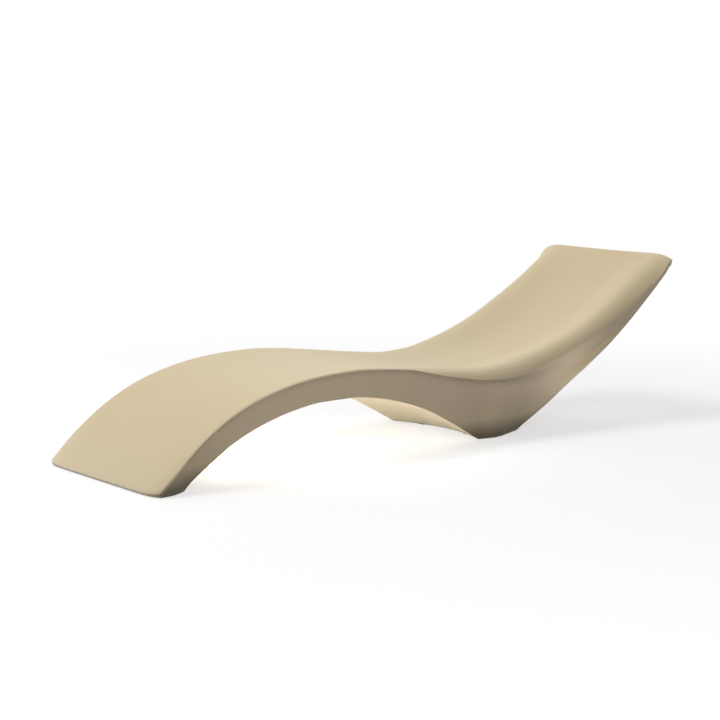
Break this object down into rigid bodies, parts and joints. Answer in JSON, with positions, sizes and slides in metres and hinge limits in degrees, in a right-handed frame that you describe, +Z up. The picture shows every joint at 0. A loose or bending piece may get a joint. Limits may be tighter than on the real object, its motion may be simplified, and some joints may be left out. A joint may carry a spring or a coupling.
{
  "type": "sun lounger",
  "caption": "Wave-shaped one-piece moulded sun lounger: arched leg end, dipped seat, reclined dished back on a narrow rear base, with rubber pads and a screw drain plug.",
  "frame": {"origin": "on the floor under the middle of the outer box", "axes": "+X towards the head end, +Y to the left of someone lying on it, +Z up"},
  "size_m": [1.915, 0.568, 0.5149],
  "materials": {
    "shell": "matte moulded polyethylene, faint grain",
    "fitting": "satin moulded plastic",
    "rubber": "matte",
    "steel": "turned",
    "brass": "turned"
  },
  "bodies": {
    "lounger": {"drain_bush": "fitting", "insert_front_left_a": "brass", "insert_front_left_b": "brass", "insert_front_right_a": "brass", "insert_front_right_b": "brass", "insert_rear_left_a": "brass", "insert_rear_left_b": "brass", "insert_rear_right_a": "brass", "insert_rear_right_b": "brass", "pad_front_left": "rubber", "pad_front_right": "rubber", "pad_rear_left": "rubber", "pad_rear_right": "rubber", "pad_screw_front_left_a": "steel", "pad_screw_front_left_b": "steel", "pad_screw_front_right_a": "steel", "pad_screw_front_right_b": "steel", "pad_screw_rear_left_a": "steel", "pad_screw_rear_left_b": "steel", "pad_screw_rear_right_a": "steel", "pad_screw_rear_right_b": "steel", "shell": "shell", "vent_plug": "fitting"},
    "plug seal": {"drain_seal": "rubber"},
    "plug": {"drain_plug": "fitting"}
  },
  "joints": [
    {"name": "plug_draw", "type": "slide", "parent": "lounger", "child": "plug seal", "axis": [0.6217, 0, -0.7832], "range_m": [0, 0.0161]},
    {"name": "plug_turn", "type": "hinge", "parent": "plug seal", "child": "plug", "pos_m": [0.48518, 0, 0.06757], "axis": [0.6217, 0, -0.7832], "range_deg": [0, 1440]}
  ],
  "couplings": [
    {"joint": "plug_draw", "follows": "plug_turn", "m_per_rad": 0.00063662}
  ]
}
